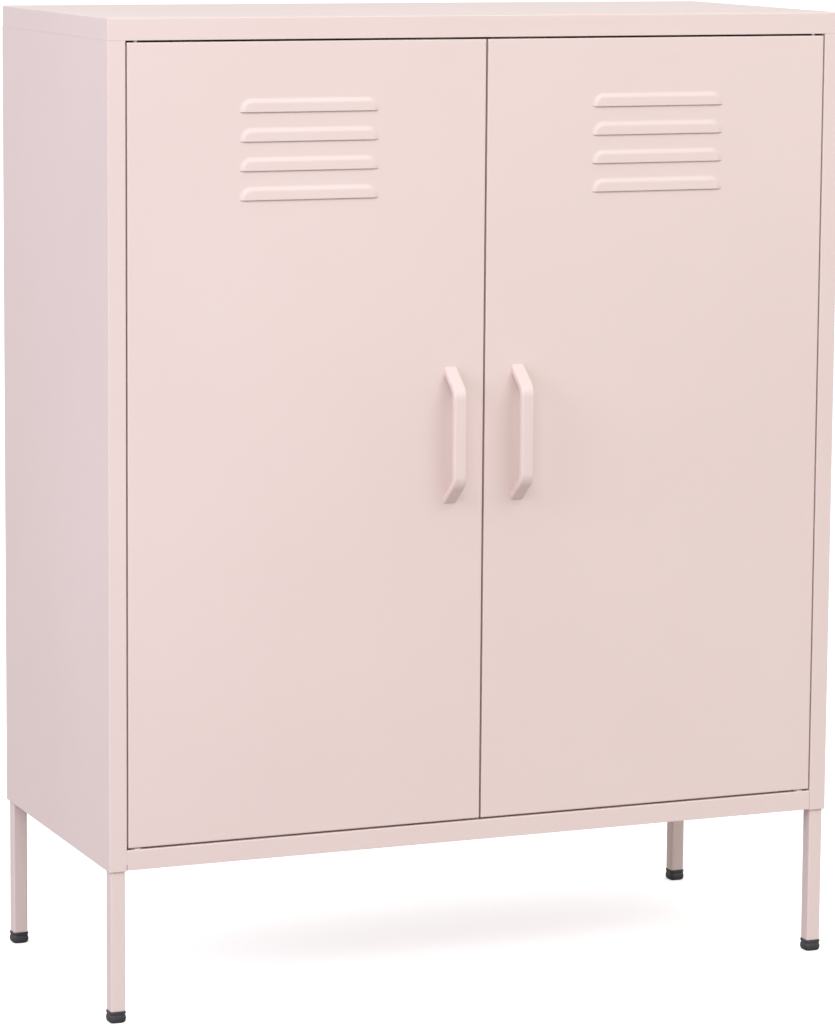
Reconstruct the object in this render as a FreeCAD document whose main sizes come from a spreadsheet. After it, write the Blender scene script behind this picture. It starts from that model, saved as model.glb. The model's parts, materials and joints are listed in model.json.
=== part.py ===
import FreeCAD, Part

import math
import os
import re
import sys

import Sketcher

# Two-door steel cabinet on four square legs, in millimetres.
# +Z is up and the doors face -Y. The origin is on the floor, at the middle of the overall width and
# depth, from the front of the handles to the screw heads on the back.

DIMENSIONS = {
    # carcass
    "cabinet_width": 800.0,
    "cabinet_depth": 350.0,
    "cabinet_height": 1000.0,
    "leg_clearance": 155.0,
    "sheet_thickness": 0.8,
    "fold_radius": 1.2,
    "top_rim": 22.0,
    "bottom_rail": 21.0,
    "stile_width": 18.5,
    "jamb_depth": 20.0,
    "lip_width": 18.5,
    "notch_overrun": 1.0,
    "jamb_foot_gap": 2.0,
    "leg_foot_gap": 6.0,
    "head_lip": 38.0,
    "panel_play": 0.2,
    # doors
    "door_depth": 18.0,
    "door_lip": 12.0,
    "door_face_fold": 2.0,
    "side_gap": 1.5,
    "end_gap": 2.0,
    "centre_gap": 2.0,
    "louvre_width": 148.0,
    "louvre_height": 14.5,
    "louvre_corner": 13.0,
    "louvre_toe": 0.25,
    "louvre_toe_inset": 1.0,
    "louvre_shoulder": 1.25,
    "louvre_shoulder_inset": 3.6,
    "louvre_reach": 1.6,
    "louvre_crest_inset": 5.6,
    "louvre_pitch": 28.9,
    "louvre_count": 4.0,
    "louvre_drop": 69.5,
    "stiffener_width": 60.0,
    "stiffener_crown": 30.0,
    "stiffener_depth": 12.0,
    "stiffener_foot_gap": 22.0,
    "stiffener_top_gap": 180.0,
    # handles
    "handle_reach": 28.0,
    "handle_length": 140.0,
    "handle_slope": 22.0,
    "handle_foot": 9.5,
    "handle_thickness": 7.5,
    "handle_width": 14.0,
    "handle_edge_radius": 2.2,
    "handle_outer_bend": 18.0,
    "handle_inner_bend": 10.5,
    "handle_inset": 36.0,
    "handle_hole_spacing": 128.0,
    "handle_hole_depth": 5.0,
    # door pivots
    "pivot_inset": 10.0,
    "pivot_setback": 6.0,
    "pin_radius": 2.5,
    "pin_play": 0.06,
    "pin_clearance": 0.1,
    "pin_chamfer": 0.6,
    "pin_button_rim": 1.6,
    "pin_button_height": 5.0,
    "bush_play": 0.05,
    "pin_reach": 7.0,
    "pin_tail": 42.0,
    "collar_radius": 3.2,
    "stop_radius": 4.2,
    "stop_height": 1.5,
    "bush_radius": 4.0,
    "bush_flange_radius": 4.8,
    "bush_flange": 0.8,
    "bush_length": 8.0,
    "bracket_height": 28.0,
    "bracket_depth": 11.0,
    "bracket_arm": 16.0,
    "bracket_thickness": 1.2,
    "spring_radius": 3.6,
    "spring_wire": 0.45,
    "spring_turns": 7.0,
    "spring_play": 0.05,
    # shelves and the slotted uprights that carry them
    "shelf_width": 779.0,
    "shelf_setback": 30.0,
    "shelf_rear_gap": 4.0,
    "shelf_depth_rim": 20.0,
    "lower_shelf_rise": 268.0,
    "shelf_spacing": 268.0,
    "upright_width": 20.0,
    "upright_depth": 8.0,
    "upright_setback": 42.0,
    "slot_width": 3.0,
    "slot_length": 12.0,
    "slot_pitch": 33.5,
    "slot_count": 22.0,
    "slot_start": 35.0,
    "clip_thickness": 2.0,
    "clip_seat": 12.0,
    "clip_drop": 14.0,
    "clip_hook": 2.4,
    "clip_play": 0.1,
    "clip_plate_top": 1.0,
    "clip_seat_thickness": 1.5,
    "clip_nose": 4.0,
    "clip_neck_top": 3.0,
    "clip_neck_bottom": 9.0,
    "clip_hook_heel": 11.5,
    "clip_hook_tip": 10.5,
    # legs and feet
    "leg_size": 15.0,
    "leg_wall": 1.5,
    "leg_inset": 2.0,
    "leg_rear_inset": 2.9,
    "leg_corner": 1.6,
    "plate_thickness": 2.0,
    "plate_width": 38.0,
    "plate_length": 60.0,
    "plate_edge": 0.5,
    "plate_screw_inset": 9.0,
    "plate_screw_setback": 24.0,
    "foot_height": 12.0,
    "foot_pad_height": 8.0,
    "foot_pad_size": 18.0,
    "foot_pad_corner": 3.5,
    "foot_pad_round": 2.0,
    "foot_collar_size": 15.6,
    "foot_plug_size": 11.8,
    "foot_plug_height": 16.0,
    "foot_step_overlap": 0.5,
    # fasteners
    "screw_radius": 1.95,
    "screw_hole_radius": 2.15,
    "screw_head_radius": 3.6,
    "screw_head_height": 2.0,
    "screw_head_round": 1.2,
    "screw_recess_width": 0.9,
    "screw_recess_reach": 1.9,
    "screw_recess_depth": 1.1,
    "nut_radius": 3.9,
    "nut_height": 3.0,
    "nut_play": 0.02,
    "screw_past_nut": 1.0,
    "screw_past_sheet": 3.0,
    "catch_screw_reach": 4.0,
    "handle_screw_play": 0.05,
    "handle_screw_gap": 0.5,
    "flange_screw_share": 0.2,
    "flange_inset": 9.5,
    "wall_hole_radius": 3.0,
    "wall_hole_spacing": 600.0,
    "wall_hole_drop": 70.0,
    # magnetic catches
    "catch_offset": 45.0,
    "catch_width": 40.0,
    "catch_depth": 17.0,
    "catch_height": 12.0,
    "catch_play": 0.3,
    "catch_ear": 10.0,
    "catch_ear_height": 3.0,
    "pole_thickness": 1.5,
    "pole_width": 24.0,
    "magnet_height": 5.0,
    "catch_wall": 2.0,
    "catch_corner": 1.0,
    "catch_ear_setback": 3.0,
}

SHEET_NAME = "dims"

# Places that many parts share, as expressions in the dimensions above.
FRONT = "((handle_reach - cabinet_depth - screw_head_height) / 2)"
BACK = f"({FRONT} + cabinet_depth)"
REAR_FOLD = f"({BACK} - sheet_thickness)"
HALF_WIDTH = "(cabinet_width / 2)"
HEAD = "(cabinet_height - top_rim)"
RAIL_TOP = "(leg_clearance + bottom_rail)"
FLOOR_UNDERSIDE = f"({RAIL_TOP} - sheet_thickness)"
JAMB = f"({HALF_WIDTH} - stile_width)"
WALL_INSIDE = f"({HALF_WIDTH} - sheet_thickness)"
DOOR_OUTER = f"({JAMB} - side_gap)"
DOOR_INNER = "(centre_gap / 2)"
DOOR_MIDDLE = f"(({DOOR_OUTER} + {DOOR_INNER}) / 2)"
DOOR_BOTTOM = f"({RAIL_TOP} + end_gap)"
DOOR_TOP = f"({HEAD} - end_gap)"
DOOR_CENTRE = f"(({DOOR_TOP} + {DOOR_BOTTOM}) / 2)"
DOOR_BACK = f"({FRONT} + door_depth)"
PIVOT_X = f"({DOOR_OUTER} - pivot_inset)"
PIVOT_Y = f"({FRONT} + pivot_setback)"
HANDLE_X = f"({DOOR_INNER} + handle_inset)"
TRAY_SIDE = f"({WALL_INSIDE} - panel_play)"
TRAY_BOTTOM = "(leg_clearance + sheet_thickness)"
TRAY_REAR = f"({REAR_FOLD} - sheet_thickness - panel_play)"
FLANGE_SCREW_X = f"({HALF_WIDTH} - flange_inset)"
FLANGE_SCREW_FRONT = f"({FRONT} + cabinet_depth * flange_screw_share)"
FLANGE_SCREW_REAR = f"({BACK} - cabinet_depth * flange_screw_share)"
UPRIGHT_FACE = f"({WALL_INSIDE} - upright_depth)"

SIDES = {"left": -1, "right": 1}
BOTH_SIDES = tuple(SIDES.values())

# Heights of the back panel's screws, as shares of the side panels' height.
BACK_SCREW_ROWS = (0.06, 0.35, 0.65, 0.94)
NUT_SIDES = 6

# Every sketch outline starts as a ring of this radius, turned so that its first corner is lower left.
RING_RADIUS = 10
RING_START = 0.625
ARC_BULGE = 0.55

TOUCHING = 1e-3
EXACT = 1e-6

doc = FreeCAD.newDocument("locker_cabinet")
parts = []


def build_sheet():
    """The spreadsheet that holds every driving dimension under its own name."""
    sheet = doc.addObject("Spreadsheet::Sheet", SHEET_NAME)
    for row, (alias, value) in enumerate(DIMENSIONS.items(), start=1):
        sheet.set(f"A{row}", alias)
        sheet.set(f"B{row}", str(value))
        sheet.setAlias(f"B{row}", alias)
    doc.recompute()


def cells(expression):
    """The expression with every dimension name pointed at its cell."""
    return re.sub(r"[a-z][a-z_]+", lambda match: f"{SHEET_NAME}.{match.group(0)}", str(expression))


def bind(thing, **expressions):
    for path, expression in expressions.items():
        thing.setExpression(path, cells(expression))


# ---------------------------------------------------------------------------------------------
# Sketch and feature helpers
# ---------------------------------------------------------------------------------------------

# World direction of each plane's normal: along the axis that the plane leaves out, or against it.
NORMAL_SIGN = {"XY_Plane": 1, "XZ_Plane": -1, "YZ_Plane": 1}


def new_body(label):
    body = doc.addObject("PartDesign::Body", label)
    body.Label = label
    body.AllowCompound = True
    parts.append(body)
    return body


def origin_feature(body, role):
    for feature in body.Origin.OriginFeatures:
        if feature.Role == role:
            return feature
    raise ValueError(role)


def sketch_on(body, plane, at="0"):
    """A sketch parallel to an origin plane, at the world coordinate `at` along the third axis."""
    sketch = body.newObject("Sketcher::SketchObject", f"{body.Name}_sketch")
    sketch.AttachmentSupport = [(origin_feature(body, plane), "")]
    sketch.MapMode = "FlatFace"
    sketch.setExpression("AttachmentOffset.Base.z", cells(f"{NORMAL_SIGN[plane]} * ({at})"))
    return sketch


def hold_point(sketch, geometry, end, start, u, v):
    """Place one point of the sketch at (u, v) by a horizontal and a vertical dimension."""
    for kind, first, expression in (("DistanceX", start.x, u), ("DistanceY", start.y, v)):
        index = sketch.addConstraint(Sketcher.Constraint(kind, -1, 1, geometry, end, first))
        sketch.setExpression(f"Constraints[{index}]", cells(expression))


def outline(sketch, points):
    """A closed outline, listed anticlockwise from its lower left corner where it has arcs.

    A point is (u, v), or (u, v, centre_u) where an arc arrives at it. The lines start as a ring of
    the same shape, which the dimensions then pull into place.
    """
    first = len(sketch.Geometry)
    count = len(points)
    ring = []
    for index in range(count):
        turn = 2 * math.pi * (index / count + RING_START)
        ring.append(FreeCAD.Vector(RING_RADIUS * math.cos(turn), RING_RADIUS * math.sin(turn), 0))
    for index in range(count):
        following = (index + 1) % count
        start, end = ring[index], ring[following]
        if len(points[following]) == 3:
            bulge = (start + end) * ARC_BULGE
            sketch.addGeometry(Part.Arc(start, bulge, end))
        else:
            sketch.addGeometry(Part.LineSegment(start, end))
    for index in range(count):
        following = (index + 1) % count
        sketch.addConstraint(
            Sketcher.Constraint("Coincident", first + index, 2, first + following, 1))
    for index, point in enumerate(points):
        hold_point(sketch, first + index, 1, ring[index], point[0], point[1])
        if len(point) == 3:
            arc = first + (index - 1) % count
            middle = sketch.Geometry[arc].Center
            held = sketch.addConstraint(Sketcher.Constraint("DistanceX", -1, 1, arc, 3, middle.x))
            sketch.setExpression(f"Constraints[{held}]", cells(point[2]))


def rectangle(sketch, u_low, v_low, u_high, v_high):
    outline(sketch, [(u_low, v_low), (u_high, v_low), (u_high, v_high), (u_low, v_high)])


def square(sketch, u, v, size):
    half = f"({size}) / 2"
    rectangle(sketch, f"{u} - {half}", f"{v} - {half}", f"{u} + {half}", f"{v} + {half}")


def circle(sketch, u, v, radius):
    index = len(sketch.Geometry)
    sketch.addGeometry(Part.Circle(FreeCAD.Vector(index, index, 0), FreeCAD.Vector(0, 0, 1), 1))
    hold_point(sketch, index, 3, FreeCAD.Vector(index, index, 0), u, v)
    held = sketch.addConstraint(Sketcher.Constraint("Radius", index, 1.0))
    sketch.setExpression(f"Constraints[{held}]", cells(radius))


def circles(sketch, centres, radius):
    for u, v in centres:
        circle(sketch, u, v, radius)


def plane_of(sketch):
    return sketch.AttachmentSupport[0][0].Role


def pad(body, sketch, length, towards):
    """Extrude a sketch towards +1 or -1 along the world axis, or by half each way when 0."""
    feature = body.newObject("PartDesign::Pad", f"{body.Name}_pad")
    feature.Profile = sketch
    bind(feature, Length=length)
    if towards == 0:
        feature.SideType = "Symmetric"
    else:
        feature.Reversed = towards != NORMAL_SIGN[plane_of(sketch)]
    return feature


def pocket(body, sketch, length, towards):
    """Cut a sketch towards +1 or -1 along the world axis, or by half each way when 0."""
    doc.recompute()
    before = body.Shape.Volume
    feature = body.newObject("PartDesign::Pocket", f"{body.Name}_pocket")
    feature.Profile = sketch
    bind(feature, Length=length)
    if towards == 0:
        feature.SideType = "Symmetric"
    else:
        feature.Reversed = towards == NORMAL_SIGN[plane_of(sketch)]
    doc.recompute()
    if not body.Shape.Volume < before - EXACT:
        raise RuntimeError(f"{feature.Name} cuts nothing")
    return feature


def fillet(body, radius, choose):
    """Round the edges of the body so far for which choose(edge) holds."""
    doc.recompute()
    base = body.Tip
    names = [f"Edge{index}" for index, edge in enumerate(base.Shape.Edges, start=1) if choose(edge)]
    feature = body.newObject("PartDesign::Fillet", f"{body.Name}_fillet")
    feature.Base = (base, names)
    bind(feature, Radius=radius)
    doc.recompute()
    return feature


def revolve(body, sketch, axis="Z_Axis"):
    feature = body.newObject("PartDesign::Revolution", f"{body.Name}_revolution")
    feature.Profile = sketch
    feature.ReferenceAxis = (origin_feature(body, axis), [""])
    feature.Angle = 360
    return feature


def drill(body, plane, at, centres, radius, depth="3 * sheet_thickness"):
    """Round holes through the sheet whose middle is at the world coordinate `at`."""
    sketch = sketch_on(body, plane, at)
    circles(sketch, centres, radius)
    pocket(body, sketch, depth, 0)


def place(body, x="0", y="0", z="0"):
    for axis, expression in (("x", x), ("y", y), ("z", z)):
        body.setExpression(f"Placement.Base.{axis}", cells(expression))


def runs_along(edge, axis):
    """Whether the edge is straight and parallel to the axis (0, 1 or 2)."""
    if edge.Curve.TypeId != "Part::GeomLine":
        return False
    direction = edge.Vertexes[-1].Point - edge.Vertexes[0].Point
    return all(abs(direction[other]) < EXACT for other in range(3) if other != axis)


def spread(values):
    return max(values) - min(values)


# ---------------------------------------------------------------------------------------------
# Folded sheet parts
# ---------------------------------------------------------------------------------------------

def folded_tray(label, plane, open_at, depth, box, lips, towards):
    """A panel with four folded walls and lips turned in at the open side.

    box is (u_low, v_low, u_high, v_high) outside; lips are the lip widths in the same order.
    towards is the world direction from the open side to the panel.
    """
    body = folded_pan(label, plane, open_at, depth, box, towards)
    turn_in_lips(body, plane, open_at, box, lips, towards)
    return body


def folded_pan(label, plane, open_at, depth, box, towards):
    """A panel with four walls folded back from it, open at the world coordinate open_at."""
    body = new_body(label)
    axis = {"XY_Plane": 2, "XZ_Plane": 1, "YZ_Plane": 0}[plane]
    outside = sketch_on(body, plane, open_at)
    rectangle(outside, *box)
    pad(body, outside, depth, towards)
    doc.recompute()
    bounds = body.Shape.BoundBox
    low = (bounds.XMin, bounds.YMin, bounds.ZMin)[axis]
    high = (bounds.XMax, bounds.YMax, bounds.ZMax)[axis]
    open_side = low if towards > 0 else high
    fillet(body, "fold_radius", lambda edge: abs(edge.CenterOfMass[axis] - open_side) > TOUCHING)
    hollow_out(body, plane, open_at, f"{depth} - sheet_thickness", box, towards)
    return body


def hollow_out(body, plane, open_at, depth, box, towards):
    """Cut the inside of a box from its open side, leaving walls one sheet thick."""
    wall = "sheet_thickness"
    inside = sketch_on(body, plane, open_at)
    rectangle(inside, f"{box[0]} + {wall}", f"{box[1]} + {wall}",
              f"{box[2]} - {wall}", f"{box[3]} - {wall}")
    pocket(body, inside, depth, towards)


def turn_in_lips(body, plane, open_at, box, lips, towards):
    """The lips at a folded part's open side, joined to its walls."""
    wall = "sheet_thickness"
    overlap = "sheet_thickness / 2"
    ring = sketch_on(body, plane, open_at)
    rectangle(ring, f"{box[0]} + {overlap}", f"{box[1]} + {overlap}",
              f"{box[2]} - {overlap}", f"{box[3]} - {overlap}")
    rectangle(ring, f"{box[0]} + {lips[0]}", f"{box[1]} + {lips[1]}",
              f"{box[2]} - {lips[2]}", f"{box[3]} - {lips[3]}")
    pad(body, ring, wall, towards)


def flange_screw_points():
    return [(f"{side} * {FLANGE_SCREW_X}", y)
            for side in SIDES.values() for y in (FLANGE_SCREW_FRONT, FLANGE_SCREW_REAR)]


def back_flange_points():
    return [(f"{side} * cabinet_width * flange_screw_share", f"{BACK} - flange_inset")
            for side in SIDES.values()]


def catch_screw_points(sides=BOTH_SIDES):
    reach = "(catch_width / 2 + catch_ear / 2)"
    middle = f"({DOOR_BACK} + catch_play + catch_depth / 2)"
    return [(f"{side} * catch_offset + {end} * {reach}", middle)
            for side in sides for end in (-1, 1)]


def pivot_points():
    return [(f"{side} * {PIVOT_X}", PIVOT_Y) for side in SIDES.values()]


def leg_screw_points():
    points = []
    for side in SIDES.values():
        for row in LEG_ROWS:
            points.extend(leg_plate_points(side, row))
    return points


def build_top_panel():
    box = (f"-{HALF_WIDTH}", FRONT, HALF_WIDTH, BACK)
    lips = ("lip_width", "head_lip", "lip_width", "lip_width")
    body = folded_tray("top_panel", "XY_Plane", HEAD, "top_rim", box, lips, 1)
    lip_middle = f"{HEAD} + sheet_thickness / 2"
    drill(body, "XY_Plane", lip_middle, flange_screw_points() + back_flange_points(),
          "screw_hole_radius")
    drill(body, "XY_Plane", lip_middle, catch_screw_points(), "screw_hole_radius")
    drill(body, "XY_Plane", lip_middle, pivot_points(), "bush_radius")


def build_bottom_panel():
    box = (f"-{TRAY_SIDE}", FRONT, TRAY_SIDE, TRAY_REAR)
    lips = ("lip_width", "lip_width", "lip_width", "lip_width")
    depth = f"({RAIL_TOP} - {TRAY_BOTTOM})"
    body = folded_tray("bottom_panel", "XY_Plane", TRAY_BOTTOM, depth, box, lips, 1)
    floor_middle = f"{FLOOR_UNDERSIDE} + sheet_thickness / 2"

    notches = sketch_on(body, "XY_Plane", TRAY_BOTTOM)
    for side in SIDES.values():
        rectangle(notches, f"{side} * ({JAMB} - panel_play)", f"{FRONT} - notch_overrun",
                  f"{side} * ({TRAY_SIDE} + notch_overrun)", f"{FRONT} + jamb_depth + 2 * panel_play")
    pocket(body, notches, f"{depth} * 3", 0)

    leg_holes = sketch_on(body, "XY_Plane", TRAY_BOTTOM)
    for side in SIDES.values():
        rectangle(leg_holes,
                  f"{side} * ({HALF_WIDTH} - leg_inset - leg_size - panel_play)",
                  f"{BACK} - leg_rear_inset - leg_size - panel_play",
                  f"{side} * ({TRAY_SIDE} - sheet_thickness)",
                  f"{TRAY_REAR} - sheet_thickness")
    pocket(body, leg_holes, "2 * sheet_thickness", 0)

    drill(body, "XY_Plane", floor_middle, leg_screw_points(), "screw_hole_radius")
    drill(body, "XY_Plane", floor_middle, pivot_points(), "bush_radius")
    drill(body, "XY_Plane", f"{TRAY_BOTTOM} + sheet_thickness / 2", flange_screw_points(),
          "screw_hole_radius")


def side_panel_outline(side):
    """Plan of a side panel: wall, front stile with its jamb, and rear fold."""
    wall = "sheet_thickness"
    plan = [
        (HALF_WIDTH, FRONT),
        (HALF_WIDTH, REAR_FOLD),
        (JAMB, REAR_FOLD),
        (JAMB, f"{REAR_FOLD} - {wall}"),
        (WALL_INSIDE, f"{REAR_FOLD} - {wall}"),
        (WALL_INSIDE, f"{FRONT} + {wall}"),
        (f"{JAMB} + {wall}", f"{FRONT} + {wall}"),
        (f"{JAMB} + {wall}", f"{FRONT} + jamb_depth"),
        (JAMB, f"{FRONT} + jamb_depth"),
        (JAMB, FRONT),
    ]
    return [(f"{side} * ({x})", y) for x, y in plan]


def build_side_panel(name, side):
    body = new_body(f"{name}_side_panel")
    plan = sketch_on(body, "XY_Plane", "leg_clearance")
    outline(plan, side_panel_outline(side))
    pad(body, plan, f"{HEAD} - leg_clearance", 1)
    doc.recompute()
    bounds = body.Shape.BoundBox
    jamb = DIMENSIONS["cabinet_width"] / 2 - DIMENSIONS["stile_width"]

    def is_outside_fold(edge):
        if not runs_along(edge, 2):
            return False
        x, y = abs(edge.CenterOfMass.x), edge.CenterOfMass.y
        on_front = abs(y - bounds.YMin) < TOUCHING
        on_rear = abs(y - bounds.YMax) < TOUCHING
        return on_front or (on_rear and x > jamb + 1)

    fillet(body, "fold_radius", is_outside_fold)

    for at, towards, front_gap, rear_gap in (
            (HEAD, -1, "sheet_thickness / 2", "sheet_thickness / 2"),
            ("leg_clearance", 1, "jamb_depth + jamb_foot_gap", "leg_size + leg_foot_gap")):
        flange = sketch_on(body, "XY_Plane", at)
        rectangle(flange, f"{side} * {JAMB}", f"{FRONT} + ({front_gap})",
                  f"{side} * ({HALF_WIDTH} - sheet_thickness / 2)", f"{REAR_FOLD} - ({rear_gap})")
        pad(body, flange, "sheet_thickness", towards)

    screws = [(f"{side} * {FLANGE_SCREW_X}", y) for y in (FLANGE_SCREW_FRONT, FLANGE_SCREW_REAR)]
    drill(body, "XY_Plane", f"{HEAD} - sheet_thickness / 2", screws, "screw_hole_radius")
    drill(body, "XY_Plane", "leg_clearance + sheet_thickness / 2", screws, "screw_hole_radius")
    drill(body, "XZ_Plane", f"{REAR_FOLD} - sheet_thickness / 2", back_screw_points((side,)),
          "screw_hole_radius")


def back_screw_points(sides=BOTH_SIDES):
    """Where the back panel is screwed to the rear folds of the side panels."""
    return [(f"{side} * {FLANGE_SCREW_X}", f"leg_clearance + {row} * ({HEAD} - leg_clearance)")
            for side in sides for row in BACK_SCREW_ROWS]


def wall_hole_points():
    return [(f"{side} * wall_hole_spacing / 2", f"cabinet_height - wall_hole_drop")
            for side in SIDES.values()]


def build_back_panel():
    body = new_body("back_panel")
    sheet = sketch_on(body, "XZ_Plane", REAR_FOLD)
    rectangle(sheet, f"-{HALF_WIDTH}", "leg_clearance", HALF_WIDTH, HEAD)
    pad(body, sheet, "sheet_thickness", 1)
    flange = sketch_on(body, "XY_Plane", HEAD)
    edge = f"({JAMB} - side_gap)"
    rectangle(flange, f"-{edge}", f"{BACK} - lip_width", edge, f"{BACK} - sheet_thickness / 2")
    pad(body, flange, "sheet_thickness", -1)
    drill(body, "XZ_Plane", f"{BACK} - sheet_thickness / 2", back_screw_points(),
          "screw_hole_radius")
    drill(body, "XZ_Plane", f"{BACK} - sheet_thickness / 2", wall_hole_points(),
          "wall_hole_radius")
    drill(body, "XY_Plane", f"{HEAD} - sheet_thickness / 2", back_flange_points(),
          "screw_hole_radius")


SHELVES = {
    "lower": f"({RAIL_TOP} + lower_shelf_rise)",
    "upper": f"({RAIL_TOP} + lower_shelf_rise + shelf_spacing)",
}


def build_shelf(name, top):
    box = ("-shelf_width / 2", f"{FRONT} + shelf_setback", "shelf_width / 2",
           f"{TRAY_REAR} - shelf_rear_gap")
    lips = ("door_lip", "door_lip", "door_lip", "door_lip")
    folded_tray(f"{name}_shelf", "XY_Plane", f"{top} - shelf_depth_rim", "shelf_depth_rim",
                box, lips, 1)


# ---------------------------------------------------------------------------------------------
# Slotted uprights and shelf clips
# ---------------------------------------------------------------------------------------------

UPRIGHT_ROWS = {"front": f"({FRONT} + upright_setback)", "rear": f"({REAR_FOLD} - upright_setback)"}
SLOT_FIRST = f"({RAIL_TOP} + slot_start)"


def build_upright(side_name, side, row_name, middle):
    body = new_body(f"{side_name}_{row_name}_upright")
    half = "upright_width / 2"
    wall = "sheet_thickness"
    plan = [
        (WALL_INSIDE, f"{middle} - {half}"),
        (WALL_INSIDE, f"{middle} - {half} + {wall}"),
        (f"{UPRIGHT_FACE} + {wall}", f"{middle} - {half} + {wall}"),
        (f"{UPRIGHT_FACE} + {wall}", f"{middle} + {half} - {wall}"),
        (WALL_INSIDE, f"{middle} + {half} - {wall}"),
        (WALL_INSIDE, f"{middle} + {half}"),
        (UPRIGHT_FACE, f"{middle} + {half}"),
        (UPRIGHT_FACE, f"{middle} - {half}"),
    ]
    sketch = sketch_on(body, "XY_Plane", f"{RAIL_TOP} + end_gap")
    outline(sketch, [(f"{side} * ({x})", y) for x, y in plan])
    pad(body, sketch, f"{HEAD} - {RAIL_TOP} - 2 * end_gap", 1)

    slot = sketch_on(body, "YZ_Plane", f"{side} * ({UPRIGHT_FACE} + {wall} / 2)")
    rectangle(slot, f"{middle} - slot_width / 2", SLOT_FIRST,
              f"{middle} + slot_width / 2", f"{SLOT_FIRST} + slot_length")
    cut = pocket(body, slot, "2 * sheet_thickness", 0)
    column = body.newObject("PartDesign::LinearPattern", f"{body.Name}_slots")
    column.Originals = [cut]
    column.Direction = (origin_feature(body, "Z_Axis"), [""])
    column.Mode = "Spacing"
    bind(column, Offset="slot_pitch", Occurrences="slot_count")
    body.Tip = column


def build_shelf_clips(name, top):
    """Four hooked clips: a plate through the slot of each upright, with a seat under the shelf."""
    body = new_body(f"{name}_shelf_clips")
    seat_top = f"({top} - shelf_depth_rim)"
    hook_in = f"({UPRIGHT_FACE} + sheet_thickness + clip_play)"
    face = f"({UPRIGHT_FACE} - clip_play)"
    hook_out = f"({hook_in} + clip_hook)"
    plate = [
        (f"{face} - clip_seat", f"{seat_top} - clip_plate_top"),
        (f"{face} - clip_seat", f"{seat_top} - clip_nose"),
        (face, f"{seat_top} - clip_drop"),
        (face, f"{seat_top} - clip_neck_bottom"),
        (hook_in, f"{seat_top} - clip_neck_bottom"),
        (hook_in, f"{seat_top} - clip_hook_heel"),
        (hook_out, f"{seat_top} - clip_hook_tip"),
        (hook_out, f"{seat_top} - clip_neck_top"),
        (face, f"{seat_top} - clip_neck_top"),
        (face, f"{seat_top} - clip_plate_top"),
    ]
    for middle in UPRIGHT_ROWS.values():
        for side in SIDES.values():
            sketch = sketch_on(body, "XZ_Plane", middle)
            outline(sketch, [(f"{side} * ({x})", z) for x, z in plate])
            pad(body, sketch, "clip_thickness", 0)
            seat = sketch_on(body, "XY_Plane", seat_top)
            rectangle(seat, f"{side} * ({face} - clip_seat)", f"{middle} - clip_seat / 2",
                      f"{side} * {face}", f"{middle} + clip_seat / 2")
            pad(body, seat, "clip_seat_thickness", -1)


# ---------------------------------------------------------------------------------------------
# Legs and feet
# ---------------------------------------------------------------------------------------------

LEG_ROWS = {
    "front": {"outer": f"({FRONT} + leg_inset)", "inward": 1},
    "rear": {"outer": f"({BACK} - leg_rear_inset)", "inward": -1},
}
LEG_OUTER_X = f"({HALF_WIDTH} - leg_inset)"
LEG_MIDDLE_X = f"({HALF_WIDTH} - leg_inset - leg_size / 2)"


def leg_middle_y(row):
    return f"({row['outer']} + {row['inward']} * leg_size / 2)"


def leg_plate_points(side, row):
    """The two screws of one leg's mounting plate."""
    row = LEG_ROWS[row]
    inner = f"({LEG_OUTER_X} - plate_width + plate_screw_inset)"
    outer = f"({LEG_OUTER_X} - plate_screw_inset)"
    far = f"{row['outer']} + {row['inward']} * (plate_length - plate_screw_inset)"
    near = f"{row['outer']} + {row['inward']} * (plate_length - plate_screw_setback)"
    return [(f"{side} * {inner}", far), (f"{side} * {outer}", near)]


def build_leg(side_name, side, row_name, row):
    body = new_body(f"{row_name}_{side_name}_leg")
    middle_x = f"{side} * {LEG_MIDDLE_X}"
    middle_y = leg_middle_y(row)

    tube = sketch_on(body, "XY_Plane", "foot_height")
    square(tube, middle_x, middle_y, "leg_size")
    pad(body, tube, f"{FLOOR_UNDERSIDE} - foot_height", 1)
    fillet(body, "leg_corner", lambda edge: runs_along(edge, 2))
    bore = sketch_on(body, "XY_Plane", "foot_height")
    square(bore, middle_x, middle_y, "leg_size - 2 * leg_wall")
    pocket(body, bore, f"{FLOOR_UNDERSIDE} - foot_height", 1)

    plate = sketch_on(body, "XY_Plane", FLOOR_UNDERSIDE)
    neck = "(jamb_depth + jamb_foot_gap)"
    plan = [
        ("plate_edge", "plate_edge"),
        ("leg_size - plate_edge", "plate_edge"),
        ("leg_size - plate_edge", neck),
        ("plate_width", neck),
        ("plate_width", "plate_length"),
        ("plate_edge", "plate_length"),
    ]
    outline(plate, [(f"{side} * ({LEG_OUTER_X} - ({u}))", f"{row['outer']} + {row['inward']} * {v}")
                    for u, v in plan])
    pad(body, plate, "plate_thickness", -1)
    drill(body, "XY_Plane", f"{FLOOR_UNDERSIDE} - plate_thickness / 2", leg_plate_points(side, row_name),
          "screw_hole_radius", "2 * plate_thickness")


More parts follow.
